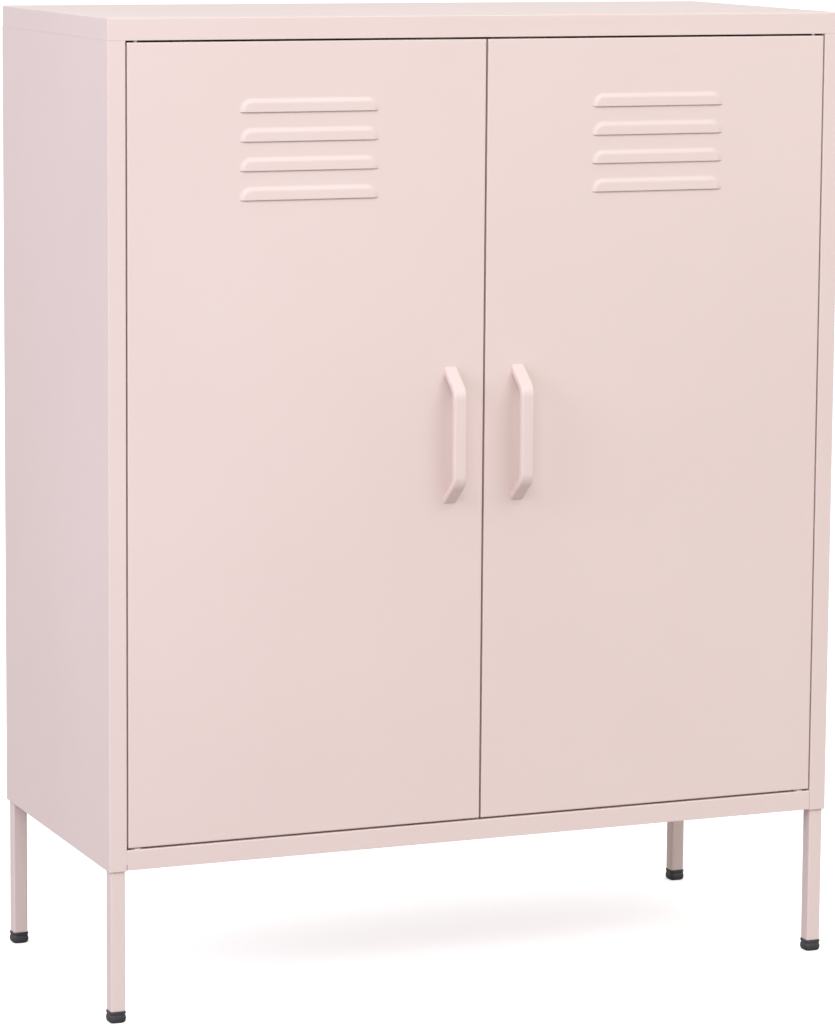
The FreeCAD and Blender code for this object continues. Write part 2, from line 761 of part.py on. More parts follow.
def build_foot(side_name, side, row_name, row):
    """Plug inside the tube, a collar under its end, and the wider pad that meets the floor."""
    body = new_body(f"{row_name}_{side_name}_foot")
    place(body, x=f"{side} * {LEG_MIDDLE_X}", y=leg_middle_y(row))
    sole = sketch_on(body, "XY_Plane", "0")
    square(sole, "0", "0", "foot_pad_size")
    pad(body, sole, "foot_pad_height", 1)
    fillet(body, "foot_pad_corner", lambda edge: runs_along(edge, 2))
    fillet(body, "foot_pad_round", lambda edge: spread([v.Z for v in edge.Vertexes]) < EXACT)
    for start, size, height in (("foot_pad_height", "foot_collar_size",
                                 "foot_height - foot_pad_height"),
                                ("foot_height", "foot_plug_size", "foot_plug_height")):
        step = sketch_on(body, "XY_Plane", f"{start} - foot_step_overlap")
        square(step, "0", "0", size)
        pad(body, step, f"{height} + foot_step_overlap", 1)


# ---------------------------------------------------------------------------------------------
# Doors
# ---------------------------------------------------------------------------------------------

def louvre_outline(sketch, centre, bottom, inset):
    """Louvre outline: straight lower edge, quarter-round upper corners, inset on those sides."""
    half = f"(louvre_width / 2 - ({inset}))"
    top = f"({bottom} + louvre_height - ({inset}))"
    radius = f"(louvre_corner - ({inset}))"
    right = f"({centre} + {half})"
    left = f"({centre} - {half})"
    outline(sketch, [
        (left, bottom),
        (right, bottom),
        (right, f"{top} - {radius}"),
        (f"{right} - {radius}", top, f"{right} - {radius}"),
        (f"{left} + {radius}", top),
        (left, f"{top} - {radius}", f"{left} + {radius}"),
    ])


def louvre_layer(body, kind, centre, bottom, levels):
    """A straight-sided loft between outlines at (y, inset) levels, added or cut."""
    sketches = []
    for y, inset in levels:
        sketch = sketch_on(body, "XZ_Plane", y)
        louvre_outline(sketch, centre, bottom, inset)
        sketches.append(sketch)
    doc.recompute()
    loft = body.newObject(f"PartDesign::{kind}Loft", f"{body.Name}_louvre")
    loft.Profile = sketches[0]
    loft.Sections = sketches[1:]
    loft.Ruled = True
    return loft


def door_box(side):
    """A door's outline, as (x_low, z_low, x_high, z_high)."""
    if side < 0:
        return f"0 - {DOOR_OUTER}", DOOR_BOTTOM, f"0 - {DOOR_INNER}", DOOR_TOP
    return DOOR_INNER, DOOR_BOTTOM, DOOR_OUTER, DOOR_TOP


def build_door_face(name, side):
    """The door's outer sheet, folded back a little all round, with its pressed louvres."""
    body = folded_pan(f"{name}_door_face", "XZ_Plane", f"({FRONT} + door_face_fold)",
                      "door_face_fold", door_box(side), -1)

    centre = f"({side} * {DOOR_MIDDLE})"
    bottom = f"({DOOR_TOP} - louvre_drop - (louvre_count - 1) * louvre_pitch)"
    wall = "sheet_thickness"
    hood = louvre_layer(body, "Additive", centre, bottom, [
        (f"{FRONT} + louvre_toe", "-louvre_toe_inset"),
        (f"{FRONT} - louvre_toe", "louvre_toe_inset"),
        (f"{FRONT} - louvre_shoulder", "louvre_shoulder_inset"),
        (f"{FRONT} - louvre_reach", "louvre_crest_inset"),
    ])
    hollow = louvre_layer(body, "Subtractive", centre, bottom, [
        (f"{FRONT} + 1.5 * {wall}", wall),
        (f"{FRONT} + {wall} / 2", wall),
        (f"{FRONT} - louvre_shoulder + {wall}", f"louvre_shoulder_inset + {wall}"),
        (f"{FRONT} - louvre_reach + {wall}", f"louvre_crest_inset + {wall}"),
    ])
    doc.recompute()
    row = body.newObject("PartDesign::LinearPattern", f"{body.Name}_louvres")
    row.Originals = [hood, hollow]
    row.Direction = (origin_feature(body, "Z_Axis"), [""])
    row.Mode = "Spacing"
    bind(row, Offset="louvre_pitch", Occurrences="louvre_count")
    body.Tip = row

    drill(body, "XZ_Plane", f"{FRONT} + {wall} / 2", handle_hole_points(side), "screw_hole_radius")


def build_door_edge(name, side):
    """Folded frame welded behind the face: four walls, with lips turned in at the back."""
    body = new_body(f"{name}_door_edge")
    wall = "sheet_thickness"
    depth = "(door_depth - door_face_fold)"
    box = door_box(side)
    outside = sketch_on(body, "XZ_Plane", DOOR_BACK)
    rectangle(outside, *box)
    pad(body, outside, depth, -1)
    fillet(body, "fold_radius", lambda edge: runs_along(edge, 1))
    hollow_out(body, "XZ_Plane", DOOR_BACK, depth, box, -1)
    lips = ("door_lip", "door_lip", "door_lip", "door_lip")
    turn_in_lips(body, "XZ_Plane", DOOR_BACK, box, lips, -1)
    pivot = [(f"{side} * {PIVOT_X}", PIVOT_Y)]
    for at in (f"{DOOR_TOP} - {wall} / 2", f"{DOOR_BOTTOM} + {wall} / 2"):
        drill(body, "XY_Plane", at, pivot, "pin_radius + pin_clearance")


def build_stiffener(name, side):
    """Hat-section channel welded to the back of the door's face."""
    body = new_body(f"{name}_door_stiffener")
    wall = "sheet_thickness"
    base = f"({FRONT} + {wall})"
    edge, crown, deep = "stiffener_width / 2", "stiffener_crown / 2", "stiffener_depth"
    half = [
        (edge, "0"),
        (crown, "0"),
        (crown, f"{deep} - {wall}"),
    ]
    outer = [
        (f"{crown} + {wall}", deep),
        (f"{crown} + {wall}", wall),
        (edge, wall),
    ]
    plan = [(f"-({u})", v) for u, v in half] + [(u, v) for u, v in reversed(half)]
    plan += [(u, v) for u, v in reversed(outer)] + [(f"-({u})", v) for u, v in outer]
    centre = f"{side} * {DOOR_MIDDLE}"
    sketch = sketch_on(body, "XY_Plane", f"{DOOR_BOTTOM} + stiffener_foot_gap")
    outline(sketch, [(f"{centre} + ({u})", f"{base} + ({v})") for u, v in plan])
    pad(body, sketch, f"{DOOR_TOP} - {DOOR_BOTTOM} - stiffener_foot_gap - stiffener_top_gap", 1)


def handle_hole_points(side):
    return [(f"{side} * {HANDLE_X}", f"{DOOR_CENTRE} + {end} * handle_hole_spacing / 2")
            for end in (-1, 1)]


def build_handle(name, side):
    """Bar pull: straight grip with both ends sloping back to the door."""
    body = new_body(f"{name}_door_handle")
    grip = "(handle_length / 2 - handle_slope)"
    inner_reach = "(handle_reach - handle_thickness)"
    inner_foot = "(handle_length / 2 - handle_foot)"
    inner_grip = f"({inner_foot} - {inner_reach} * handle_slope / handle_reach)"
    upper = [
        ("0", inner_foot),
        (inner_reach, inner_grip),
    ]
    outer = [
        ("handle_reach", grip),
        ("0", "handle_length / 2"),
    ]
    profile = [(u, f"-{v}") for u, v in upper] + [(u, v) for u, v in reversed(upper)]
    profile += [(u, v) for u, v in reversed(outer)] + [(u, f"-{v}") for u, v in outer]
    sketch = sketch_on(body, "YZ_Plane", f"{side} * {HANDLE_X}")
    outline(sketch, [(f"{FRONT} - {u}", f"{DOOR_CENTRE} + ({v})") for u, v in profile])
    pad(body, sketch, "handle_width", 0)
    doc.recompute()
    bounds = body.Shape.BoundBox

    def on_plane(edge, y):
        return all(abs(vertex.Y - y) < TOUCHING for vertex in edge.Vertexes)

    fillet(body, "handle_outer_bend",
           lambda edge: runs_along(edge, 0) and on_plane(edge, bounds.YMin))
    inside_grip = bounds.YMin + DIMENSIONS["handle_thickness"]
    fillet(body, "handle_inner_bend",
           lambda edge: runs_along(edge, 0) and on_plane(edge, inside_grip))

    def is_long_edge(edge):
        xs = [vertex.X for vertex in edge.Vertexes]
        on_side = spread(xs) < TOUCHING and min(abs(xs[0] - bounds.XMin), abs(xs[0] - bounds.XMax)) < TOUCHING
        return on_side and not on_plane(edge, bounds.YMax)

    fillet(body, "handle_edge_radius", is_long_edge)
    holes = sketch_on(body, "XZ_Plane", FRONT)
    circles(holes, handle_hole_points(side), "screw_radius + handle_screw_play")
    pocket(body, holes, "handle_hole_depth", -1)


# ---------------------------------------------------------------------------------------------
# Pivots: nylon bushes in the carcass, steel pins on the doors
# ---------------------------------------------------------------------------------------------

def turned_part(label, profile, x, y, z):
    """A solid of revolution about a vertical axis at (x, y), its profile given as (radius, height)."""
    body = new_body(label)
    place(body, x=x, y=y, z=z)
    sketch = sketch_on(body, "XZ_Plane")
    outline(sketch, profile)
    revolve(body, sketch)
    return body


def build_bushes(name, side):
    bore = "(pin_radius + pin_play)"
    x = f"{side} * {PIVOT_X}"
    lip = "sheet_thickness"
    sleeve = "(bush_radius - bush_play)"
    upper = [
        (bore, "0"),
        (sleeve, "0"),
        (sleeve, lip),
        ("bush_flange_radius", lip),
        ("bush_flange_radius", f"{lip} + bush_flange"),
        (sleeve, f"{lip} + bush_flange"),
        (sleeve, "bush_length"),
        (bore, "bush_length"),
    ]
    turned_part(f"{name}_upper_pivot_bush", upper, x, PIVOT_Y, HEAD)
    lower = [
        (bore, "bush_flange - bush_length"),
        (sleeve, "bush_flange - bush_length"),
        (sleeve, "0"),
        ("bush_flange_radius", "0"),
        ("bush_flange_radius", "bush_flange"),
        (bore, "bush_flange"),
    ]
    turned_part(f"{name}_lower_pivot_bush", lower, x, PIVOT_Y, RAIL_TOP)


def build_pins(name, side):
    x = f"{side} * {PIVOT_X}"
    chamfer = "pin_chamfer"
    button_bottom = "0 - pin_tail - pin_button_height"
    underside = "(0 - end_gap - sheet_thickness)"
    upper = [
        ("0", button_bottom),
        ("pin_radius + pin_button_rim", button_bottom),
        ("pin_radius + pin_button_rim", "0 - pin_tail"),
        ("pin_radius", "0 - pin_tail"),
        ("pin_radius", f"{underside} - stop_height"),
        ("stop_radius", f"{underside} - stop_height"),
        ("stop_radius", underside),
        ("pin_radius", underside),
        ("pin_radius", f"pin_reach - {chamfer}"),
        (f"pin_radius - {chamfer}", "pin_reach"),
        ("0", "pin_reach"),
    ]
    turned_part(f"{name}_door_upper_pin", upper, x, PIVOT_Y, HEAD)
    inside = "(end_gap + sheet_thickness)"
    lower = [
        ("0", "bush_flange - pin_reach"),
        (f"pin_radius - {chamfer}", "bush_flange - pin_reach"),
        ("pin_radius", f"bush_flange - pin_reach + {chamfer}"),
        ("pin_radius", "bush_flange + pin_clearance"),
        ("collar_radius", "bush_flange + pin_clearance"),
        ("collar_radius", "end_gap"),
        ("pin_radius", "end_gap"),
        ("pin_radius", inside),
        ("stop_radius", inside),
        ("stop_radius", f"{inside} + stop_height"),
        ("0", f"{inside} + stop_height"),
    ]
    turned_part(f"{name}_door_lower_pin", lower, x, PIVOT_Y, RAIL_TOP)


def build_pin_bracket(name, side):
    """Angle welded to the door's outer wall; its arm guides the upper pin and seats the spring."""
    body = new_body(f"{name}_door_pin_bracket")
    wall = "bracket_thickness"
    outer = f"({DOOR_OUTER} - sheet_thickness)"
    top = f"({DOOR_TOP} - sheet_thickness)"
    bottom = f"({top} - bracket_height)"
    profile = [
        (outer, bottom),
        (outer, top),
        (f"{outer} - {wall}", top),
        (f"{outer} - {wall}", f"{bottom} + {wall}"),
        (f"{outer} - bracket_arm", f"{bottom} + {wall}"),
        (f"{outer} - bracket_arm", bottom),
    ]
    sketch = sketch_on(body, "XZ_Plane", f"{FRONT} + sheet_thickness")
    outline(sketch, [(f"{side} * ({x})", z) for x, z in profile])
    pad(body, sketch, "bracket_depth", 1)
    drill(body, "XY_Plane", f"{bottom} + {wall} / 2", [(f"{side} * {PIVOT_X}", PIVOT_Y)],
          "pin_radius + pin_clearance", "3 * bracket_thickness")


def build_pin_spring(name, side):
    body = new_body(f"{name}_door_pin_spring")
    seat = f"({DOOR_TOP} - sheet_thickness - bracket_height + bracket_thickness)"
    stop = f"({DOOR_TOP} - sheet_thickness - stop_height)"
    place(body, x=f"{side} * {PIVOT_X}", y=PIVOT_Y, z=f"{seat} + spring_wire + spring_play")
    wire = sketch_on(body, "XZ_Plane")
    circle(wire, "spring_radius", "0", "spring_wire")
    doc.recompute()
    coil = body.newObject("PartDesign::AdditiveHelix", f"{body.Name}_coil")
    coil.Profile = wire
    coil.ReferenceAxis = (origin_feature(body, "Z_Axis"), [""])
    coil.Mode = "height-turns-angle"
    bind(coil, Height=f"{stop} - {seat} - 2 * spring_wire - 2 * spring_play", Turns="spring_turns")


# ---------------------------------------------------------------------------------------------
# Magnetic catches
# ---------------------------------------------------------------------------------------------

def build_catch(name, side):
    """A housing under the head lip that holds a magnet between two steel pole plates."""
    middle = f"({side} * catch_offset)"
    front = f"({DOOR_BACK} + catch_play)"
    half = "catch_width / 2"
    magnet_low = f"({HEAD} - catch_height / 2 - magnet_height / 2)"
    magnet_high = f"({magnet_low} + magnet_height)"
    poles = {
        "lower": (f"{magnet_low} - pole_thickness", magnet_low),
        "upper": (magnet_high, f"{magnet_high} + pole_thickness"),
    }
    pocket_half = "pole_width / 2"

    body = new_body(f"{name}_catch_housing")
    block = sketch_on(body, "XY_Plane", HEAD)
    rectangle(block, f"{middle} - {half}", front, f"{middle} + {half}", f"{front} + catch_depth")
    pad(body, block, "catch_height", -1)
    fillet(body, "catch_corner", lambda edge: runs_along(edge, 2))
    ears = sketch_on(body, "XY_Plane", HEAD)
    rectangle(ears, f"{middle} - {half} - catch_ear", f"{front} + catch_ear_setback",
              f"{middle} + {half} + catch_ear", f"{front} + catch_depth - catch_ear_setback")
    pad(body, ears, "catch_ear_height", -1)
    recess = sketch_on(body, "XZ_Plane", front)
    rectangle(recess, f"{middle} - {pocket_half}", f"{magnet_low} - pole_thickness",
              f"{middle} + {pocket_half}", f"{magnet_high} + pole_thickness")
    pocket(body, recess, "catch_depth - catch_wall", 1)
    drill(body, "XY_Plane", f"{HEAD} - catch_ear_height / 2", catch_screw_points((side,)),
          "screw_hole_radius", "catch_ear_height * 2")

    magnet = new_body(f"{name}_catch_magnet")
    slab = sketch_on(magnet, "XZ_Plane", f"{front} + catch_wall")
    rectangle(slab, f"{middle} - {pocket_half}", magnet_low, f"{middle} + {pocket_half}",
              magnet_high)
    pad(magnet, slab, "catch_depth - 2 * catch_wall", 1)

    plates = new_body(f"{name}_catch_poles")
    for low, high in poles.values():
        strip = sketch_on(plates, "XZ_Plane", f"{front} - catch_play / 2")
        rectangle(strip, f"{middle} - {pocket_half}", low, f"{middle} + {pocket_half}", high)
        pad(plates, strip, "catch_depth - catch_wall + catch_play / 2", 1)


# ---------------------------------------------------------------------------------------------
# Fasteners
# ---------------------------------------------------------------------------------------------

def cross_recess(sketch, u, v):
    """A plus-shaped outline, the recess of a cross-head screw."""
    width, reach = "screw_recess_width / 2", "screw_recess_reach"
    arm = [(reach, f"0 - {width}"), (reach, width), (width, width)]
    points = []
    for _ in range(4):
        points.extend(arm)
        arm = [(f"0 - ({second})", first) for first, second in arm]
    outline(sketch, [(f"{u} + ({a})", f"{v} + ({b})") for a, b in points])


def screw_group(label, plane, seat, centres, length, head):
    """Pan-head screws with their heads against `seat`, head pointing to `head` along the axis."""
    body = new_body(label)
    axis = {"XY_Plane": 2, "XZ_Plane": 1}[plane]
    heads = sketch_on(body, plane, seat)
    circles(heads, centres, "screw_head_radius")
    pad(body, heads, "screw_head_height", head)
    doc.recompute()
    bounds = body.Shape.BoundBox
    ends = ((bounds.YMin, bounds.YMax), (bounds.ZMin, bounds.ZMax))[axis - 1]
    crown = ends[1] if head > 0 else ends[0]
    fillet(body, "screw_head_round",
           lambda edge: edge.Closed and abs(edge.CenterOfMass[axis] - crown) < TOUCHING)
    shanks = sketch_on(body, plane, seat)
    circles(shanks, centres, "screw_radius")
    pad(body, shanks, length, -head)
    recess = sketch_on(body, plane, f"{seat} + {head} * screw_head_height")
    for u, v in centres:
        cross_recess(recess, u, v)
    pocket(body, recess, "screw_recess_depth", -head)


def nut_group(label, seat, centres):
    """Hexagon nuts standing on a lip."""
    body = new_body(label)
    sketch = sketch_on(body, "XY_Plane", seat)
    for u, v in centres:
        corners = []
        for index in range(NUT_SIDES):
            turn = 2 * math.pi * index / NUT_SIDES
            corners.append((f"{u} + nut_radius * {math.cos(turn):.6f}",
                            f"{v} + nut_radius * {math.sin(turn):.6f}"))
        outline(sketch, corners)
        circle(sketch, u, v, "screw_radius + nut_play")
    pad(body, sketch, "nut_height", 1)


def build_fasteners():
    lip = "sheet_thickness"
    under_head = f"{HEAD} - {lip}"
    joint = f"2 * {lip} + nut_height + screw_past_nut"
    top_points = flange_screw_points() + back_flange_points()
    screw_group("top_panel_screws", "XY_Plane", under_head, top_points, joint, -1)
    nut_group("top_panel_nuts", f"{HEAD} + {lip}", top_points)
    screw_group("bottom_panel_screws", "XY_Plane", "leg_clearance", flange_screw_points(), joint,
                -1)
    nut_group("bottom_panel_nuts", f"{TRAY_BOTTOM} + {lip}", flange_screw_points())
    screw_group("leg_screws", "XY_Plane", RAIL_TOP, leg_screw_points(),
                f"{lip} + plate_thickness + screw_past_sheet", 1)
    screw_group("back_panel_screws", "XZ_Plane", BACK, back_screw_points(),
                f"2 * {lip} + screw_past_sheet", 1)
    screw_group("catch_screws", "XY_Plane", f"{HEAD} - catch_ear_height", catch_screw_points(),
                "catch_ear_height + catch_screw_reach", -1)
    for name, side in SIDES.items():
        screw_group(f"{name}_door_handle_screws", "XZ_Plane", f"{FRONT} + {lip}",
                    handle_hole_points(side), f"{lip} + handle_hole_depth - handle_screw_gap", 1)


# ---------------------------------------------------------------------------------------------
# The whole cabinet
# ---------------------------------------------------------------------------------------------

def build_cabinet():
    build_top_panel()
    build_bottom_panel()
    build_back_panel()
    for name, side in SIDES.items():
        build_side_panel(name, side)
        for row_name, middle in UPRIGHT_ROWS.items():
            build_upright(name, side, row_name, middle)
        for row_name, row in LEG_ROWS.items():
            build_leg(name, side, row_name, row)
            build_foot(name, side, row_name, row)
        build_bushes(name, side)
        build_catch(name, side)
        build_door_face(name, side)
        build_door_edge(name, side)
        build_stiffener(name, side)
        build_handle(name, side)
        build_pins(name, side)
        build_pin_bracket(name, side)
        build_pin_spring(name, side)
    for name, top in SHELVES.items():
        build_shelf(name, top)
        build_shelf_clips(name, top)
    build_fasteners()
    doc.recompute()


def check_and_export():
    failed = [thing.Name for thing in doc.Objects
              if "Invalid" in thing.State or "Error" in thing.State]
    for part in parts:
        if part.Shape.isNull() or not part.Shape.isValid() or not part.Shape.Solids:
            failed.append(part.Label)
    if failed:
        sys.exit("failed objects: " + ", ".join(failed))
    os.makedirs("parts", exist_ok=True)
    for part in parts:
        part.Shape.exportStep(f"parts/{part.Label}.step")
        print(f"{part.Label:32s} solids {len(part.Shape.Solids):2d}  volume {part.Shape.Volume:12.1f}")


build_sheet()
build_cabinet()
check_and_export()
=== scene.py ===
import json
import math

import bpy
from mathutils import Euler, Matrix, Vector


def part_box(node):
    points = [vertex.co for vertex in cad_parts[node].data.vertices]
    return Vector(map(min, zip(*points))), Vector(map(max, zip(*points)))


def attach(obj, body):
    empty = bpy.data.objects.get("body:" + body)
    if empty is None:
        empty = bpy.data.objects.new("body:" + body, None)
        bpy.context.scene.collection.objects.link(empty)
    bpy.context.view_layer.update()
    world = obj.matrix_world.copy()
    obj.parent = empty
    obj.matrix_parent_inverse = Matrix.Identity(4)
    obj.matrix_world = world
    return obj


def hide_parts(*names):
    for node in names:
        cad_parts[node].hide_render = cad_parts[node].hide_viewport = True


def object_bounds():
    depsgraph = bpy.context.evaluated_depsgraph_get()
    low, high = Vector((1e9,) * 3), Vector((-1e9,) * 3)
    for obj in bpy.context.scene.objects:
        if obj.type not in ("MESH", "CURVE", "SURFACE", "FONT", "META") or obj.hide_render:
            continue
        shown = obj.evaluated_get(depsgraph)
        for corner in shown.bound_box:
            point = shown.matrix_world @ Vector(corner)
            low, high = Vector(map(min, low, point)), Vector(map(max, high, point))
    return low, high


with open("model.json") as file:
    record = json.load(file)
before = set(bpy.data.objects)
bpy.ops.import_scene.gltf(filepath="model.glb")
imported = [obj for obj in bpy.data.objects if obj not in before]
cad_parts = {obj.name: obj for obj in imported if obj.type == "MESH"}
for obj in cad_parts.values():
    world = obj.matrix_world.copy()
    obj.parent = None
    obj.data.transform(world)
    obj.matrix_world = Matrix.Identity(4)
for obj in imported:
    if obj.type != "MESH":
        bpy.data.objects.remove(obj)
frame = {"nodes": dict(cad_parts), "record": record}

CAD_LOW, CAD_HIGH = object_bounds()
MM = 0.001  # sizes below are in millimetres times MM, and everything in Blender is in metres

nodes = frame["nodes"]
record = frame["record"]


# ---------------------------------------------------------------------------------------------
# Materials
# ---------------------------------------------------------------------------------------------

ARRIS_SAMPLES = 4
ARRIS_ROUND = 0.8 * MM
ARRIS_WEAR_AND_HIGHLIGHT = 1.1 * MM
COAT_DARK = (0.788, 0.650, 0.603)
COAT_LIGHT = (0.822, 0.682, 0.634)
COAT_SPECK = (0.88, 0.73, 0.70)
# paler tone for arrises: partly a thinner coat, partly a painted highlight
COAT_THIN_AND_HIGHLIGHT = (0.90, 0.765, 0.735)


class Shader:
    """A material's node tree with short calls for the nodes used here."""

    def __init__(self, name):
        self.material = bpy.data.materials.new(name)
        self.material.use_nodes = True
        self.tree = self.material.node_tree
        self.tree.nodes.clear()
        output = self.add("ShaderNodeOutputMaterial")
        self.surface = self.add("ShaderNodeBsdfPrincipled")
        self.link(self.surface.outputs["BSDF"], output.inputs["Surface"])
        self.place = self.add("ShaderNodeTexCoord").outputs["Object"]

    def add(self, kind, **settings):
        node = self.tree.nodes.new(kind)
        for key, value in settings.items():
            setattr(node, key, value)
        return node

    def link(self, source, target):
        self.tree.links.new(source, target)

    def set(self, **values):
        for key, value in values.items():
            self.surface.inputs[key.replace("_", " ")].default_value = value

    def noise(self, scale, detail, roughness=0.5, stretch=None):
        """Noise over the object's own metres, stretched along its axes if asked."""
        node = self.add("ShaderNodeTexNoise")
        node.inputs["Scale"].default_value = scale
        node.inputs["Detail"].default_value = detail
        node.inputs["Roughness"].default_value = roughness
        source = self.place
        if stretch:
            mapping = self.add("ShaderNodeMapping")
            mapping.inputs["Scale"].default_value = stretch
            self.link(source, mapping.inputs["Vector"])
            source = mapping.outputs["Vector"]
        self.link(source, node.inputs["Vector"])
        return node.outputs["Fac"]

    def span(self, value, low, high, from_low=0.3, from_high=0.7):
        """The value, spread from one range to another and held inside it."""
        node = self.add("ShaderNodeMapRange")
        for key, number in (("From Min", from_low), ("From Max", from_high),
                            ("To Min", low), ("To Max", high)):
            node.inputs[key].default_value = number
        self.link(value, node.inputs["Value"])
        return node.outputs["Result"]

    def mix(self, factor, first, second):
        """Blend two colours, each a tuple or another node's output."""
        node = self.add("ShaderNodeMix", data_type="RGBA")
        self.link(factor, node.inputs["Factor"])
        for socket, colour in (("A", first), ("B", second)):
            target = [s for s in node.inputs if s.name == socket and s.type == "RGBA"][0]
            if isinstance(colour, tuple):
                target.default_value = (*colour, 1.0)
            else:
                self.link(colour, target)
        return [s for s in node.outputs if s.type == "RGBA"][0]

    def bump(self, heights, below=None):
        """Stack bumps on a normal, given as (height output, distance in metres, strength)."""
        for height, distance, strength in heights:
            node = self.add("ShaderNodeBump")
            node.inputs["Distance"].default_value = distance
            node.inputs["Strength"].default_value = strength
            self.link(height, node.inputs["Height"])
            if below:
                self.link(below, node.inputs["Normal"])
            below = node.outputs["Normal"]
        self.link(below, self.surface.inputs["Normal"])

    def round_over(self, radius):
        """The normal as if every arris were rounded to this radius."""
        bevel = self.add("ShaderNodeBevel", samples=ARRIS_SAMPLES)
        bevel.inputs["Radius"].default_value = radius
        return bevel.outputs["Normal"]

    def edges(self, radius):
        """1 on arrises and 0 on flats, from how far the rounded normal leans from the true one."""
        true = self.add("ShaderNodeNewGeometry")
        dot = self.add("ShaderNodeVectorMath", operation="DOT_PRODUCT")
        self.link(self.round_over(radius), dot.inputs[0])
        self.link(true.outputs["Normal"], dot.inputs[1])
        return self.span(dot.outputs["Value"], 1.0, 0.0, from_low=0.80, from_high=0.99)


def powder_coat():
    """Pink coat with faint clouds and specks, lighter on arrises from a thinner coat and a painted
    highlight, with an orange-peel grain.
    """
    s = Shader("pink_powder_coat")
    cloud = s.span(s.noise(scale=2.6, detail=3.0), 0.0, 1.0)
    speck = s.span(s.noise(scale=900.0, detail=1.0), 0.0, 0.12, from_low=0.45, from_high=0.75)
    # painted highlight: arrises are lightened toward a paler tone, partly a thinner coat, partly
    # standing in for the light the edges catch
    thin_and_highlight = s.span(s.edges(ARRIS_WEAR_AND_HIGHLIGHT), 0.0, 0.22, from_low=0.0, from_high=1.0)
    tone = s.mix(cloud, COAT_DARK, COAT_LIGHT)
    tone = s.mix(speck, tone, COAT_SPECK)
    s.link(s.mix(thin_and_highlight, tone, COAT_THIN_AND_HIGHLIGHT), s.surface.inputs["Base Color"])
    s.link(s.span(s.noise(scale=38.0, detail=3.0), 0.40, 0.47), s.surface.inputs["Roughness"])
    peel = s.noise(scale=420.0, detail=2.0)
    grain = s.noise(scale=1500.0, detail=1.0)
    s.bump([(peel, 0.00006, 0.35), (grain, 0.00002, 0.25)], s.round_over(ARRIS_ROUND))
    s.set(Specular_IOR_Level=0.42, Coat_Weight=0.06, Coat_Roughness=0.34)
    return s.material


def moulded_plastic(name, dark, light, roughness):
    s = Shader(name)
    blotch = s.span(s.noise(scale=60.0, detail=3.0), 0.0, 1.0)
    s.link(s.mix(blotch, dark, light), s.surface.inputs["Base Color"])
    s.link(s.span(s.noise(scale=220.0, detail=2.0), roughness - 0.06, roughness + 0.06),
           s.surface.inputs["Roughness"])
    s.bump([(s.noise(scale=900.0, detail=2.0), 0.00004, 0.4)])
    s.set(Specular_IOR_Level=0.4)
    return s.material


def plated_steel(name, dark, light, roughness, stretch):
    s = Shader(name)
    streak = s.noise(scale=300.0, detail=3.0, roughness=0.6, stretch=stretch)
    s.link(s.mix(s.span(streak, 0.0, 1.0), dark, light), s.surface.inputs["Base Color"])
    s.link(s.span(s.noise(scale=180.0, detail=3.0), roughness - 0.07, roughness + 0.09),
           s.surface.inputs["Roughness"])
    s.bump([(streak, 0.00003, 0.3)])
    s.set(Metallic=1.0)
    return s.material


def ferrite():
    s = Shader("ferrite_magnet")
    pressed = s.span(s.noise(scale=700.0, detail=4.0), 0.0, 1.0)
    s.link(s.mix(pressed, (0.045, 0.045, 0.05), (0.09, 0.09, 0.095)),
           s.surface.inputs["Base Color"])
    s.link(s.span(s.noise(scale=400.0, detail=2.0), 0.55, 0.72), s.surface.inputs["Roughness"])
    s.bump([(s.noise(scale=1200.0, detail=3.0), 0.00005, 0.5)])
    return s.material


MATERIALS = {
    "pink_powder_coat": powder_coat(),
    "black_plastic": moulded_plastic(
        "black_plastic", (0.036, 0.036, 0.040), (0.062, 0.062, 0.067), 0.46),
    "white_nylon": moulded_plastic(
        "white_nylon", (0.74, 0.73, 0.70), (0.80, 0.79, 0.76), 0.44),
    "white_plastic": moulded_plastic(
        "white_plastic", (0.70, 0.69, 0.66), (0.77, 0.76, 0.73), 0.50),
    "ferrite_magnet": ferrite(),
    "zinc_plated_steel": plated_steel(
        "zinc_plated_steel", (0.52, 0.54, 0.57), (0.68, 0.69, 0.71), 0.33, (1.0, 1.0, 0.35)),
    "spring_steel": plated_steel(
        "spring_steel", (0.34, 0.35, 0.37), (0.48, 0.49, 0.51), 0.28, (1.0, 1.0, 0.5)),
}

for part in record["subparts"]:
    mesh = nodes[part["node"]].data
    mesh.materials.clear()
    mesh.materials.append(MATERIALS[part["material_slot"]])


# ---------------------------------------------------------------------------------------------
# Door skins with pressed louvres, pulls, and the ferrules on the legs
# ---------------------------------------------------------------------------------------------

SHEET = 0.8 * MM
DOOR_FOLD = 2.0 * MM
DOOR_BEND = 1.2 * MM
BEND_STEPS = 5
BORDER_SUPPORT = 1.5 * MM  # a loop this far inside the bend keeps the flat's shading even
PLAIN_COLUMNS = 10
PLAIN_ROWS = 3

LOUVRE_COUNT = 4
LOUVRE_DROP = 69.5 * MM  # from the door's top to the highest louvre's lower edge
LOUVRE_PITCH = 28.9 * MM
LOUVRE_HALF = 74.0 * MM
LOUVRE_HEIGHT = 14.5 * MM
LOUVRE_CORNER = 13.0 * MM
LOUVRE_RISE = 6.0 * MM  # the run over which the press climbs to its crest
LOUVRE_END = 18.0 * MM  # the finely gridded stretch at each end
LOUVRE_CELL = 0.75 * MM
LIP_SUPPORT = 0.4 * MM

HANDLE_FOOT = 9.5 * MM
HANDLE_SLOPE = 22.0 * MM
HANDLE_THICKNESS = 7.5 * MM
HANDLE_OUTER_BEND = 18.0 * MM
HANDLE_INNER_BEND = 10.5 * MM
HANDLE_BEND_STEPS = 10
HANDLE_EDGE = 2.2 * MM
HANDLE_EDGE_STEPS = 4

FOOT_HEIGHT = 12.0 * MM
FOOT_CORNER_STEPS = 6
